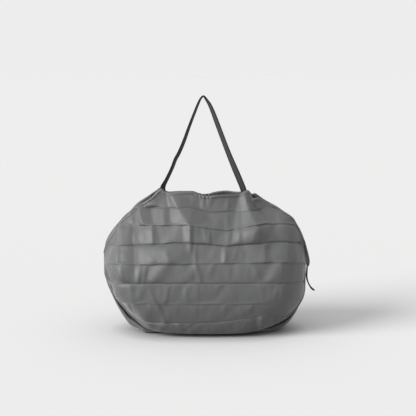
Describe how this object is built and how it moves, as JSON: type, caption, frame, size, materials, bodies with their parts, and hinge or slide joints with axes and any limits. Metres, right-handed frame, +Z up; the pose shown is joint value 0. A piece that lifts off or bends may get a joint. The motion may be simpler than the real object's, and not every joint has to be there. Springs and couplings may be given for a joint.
{
  "type": "foldable shopping bag",
  "caption": "Soft pleated shopping bag, filled out and standing on its base, with an open gathered mouth, a webbing shoulder strap held up and an elastic closing loop.",
  "frame": {"origin": "on the floor, under the middle of the bag", "axes": "+X along the pleats towards the end with the tab, +Y from the front to the back, +Z up"},
  "size_m": [0.4617, 0.2195, 0.5123],
  "materials": {
    "cloth": "thin grey woven polyester with pressed pleats",
    "webbing": "dark grey woven tape",
    "elastic": "dark covered elastic"
  },
  "bodies": {
    "root": {"pleated_body": "cloth", "front_hem": "cloth", "back_hem": "cloth", "shoulder_strap": "webbing", "end_tab": "cloth", "closing_loop": "elastic"}
  },
  "joints": []
}
